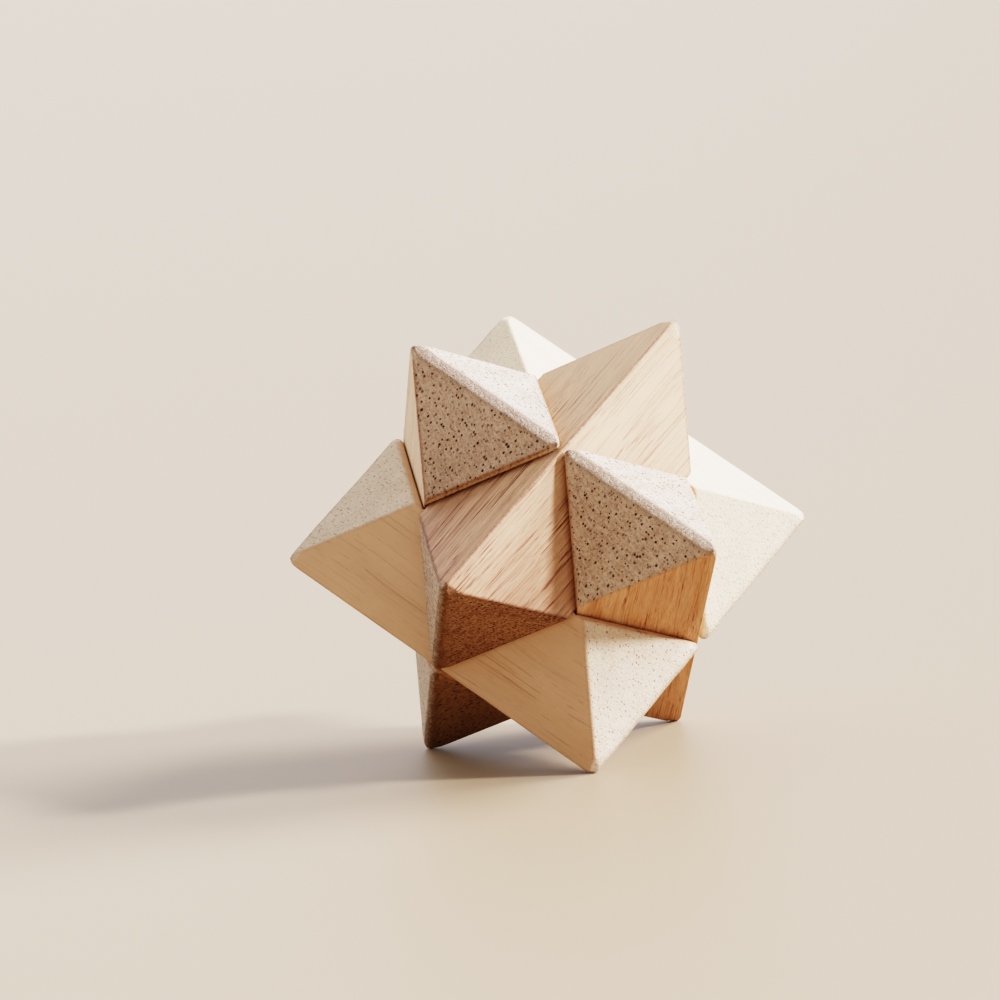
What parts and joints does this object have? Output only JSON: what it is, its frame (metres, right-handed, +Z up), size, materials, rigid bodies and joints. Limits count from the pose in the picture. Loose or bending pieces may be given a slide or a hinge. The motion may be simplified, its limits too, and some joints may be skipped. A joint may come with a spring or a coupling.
{
  "type": "star burr puzzle",
  "caption": "Star-shaped wooden burr puzzle: notched square bars set on edge cross round one centre, lock with no glue or pins, and come apart as whole halves that slide along its diagonals.",
  "frame": {"origin": "on the table, under the middle of the star, where it stands on three spike tips", "axes": "+Z up, the axis that three bars lift along; -Y is the front, towards the long bar that faces the viewer; +X is to the right, along the widest tip-to-tip line"},
  "size_m": [0.0806, 0.071, 0.0667],
  "materials": {
    "rosy_wood": "sanded, unvarnished",
    "grey_tan_wood": "sanded, unvarnished",
    "cream_wood": "sanded, unvarnished",
    "straw_wood": "sanded, unvarnished",
    "honey_wood": "sanded, unvarnished",
    "russet_wood": "sanded, unvarnished"
  },
  "bodies": {
    "base_left": {"base_left_bar": "straw_wood"},
    "base_right": {"base_right_bar": "honey_wood"},
    "base_rear": {"base_rear_bar": "russet_wood"},
    "top_front": {"top_front_bar": "rosy_wood"},
    "top_left": {"top_left_bar": "grey_tan_wood"},
    "top_right": {"top_right_bar": "cream_wood"}
  },
  "joints": [
    {"name": "right_half_slide", "type": "slide", "parent": "base_left", "child": "base_right", "axis": [0.8165, -0.4714, 0.3333], "range_m": [0, 0.04]},
    {"name": "rear_half_slide", "type": "slide", "parent": "base_left", "child": "base_rear", "axis": [0, 0.9428, 0.3333], "range_m": [0, 0.04]},
    {"name": "top_half_lift", "type": "slide", "parent": "base_right", "child": "top_front", "axis": [0, 0, 1], "range_m": [0, 0.04]},
    {"name": "top_right_bar_slide", "type": "slide", "parent": "top_front", "child": "top_right", "axis": [0, 0.9428, 0.3333], "range_m": [0, 0.04]},
    {"name": "top_left_bar_lift", "type": "slide", "parent": "base_rear", "child": "top_left", "axis": [0, 0, 1], "range_m": [0, 0.04]}
  ],
  "couplings": [
    {"joint": "top_right_bar_slide", "follows": "rear_half_slide", "ratio": 1},
    {"joint": "top_left_bar_lift", "follows": "top_half_lift", "ratio": 1}
  ]
}
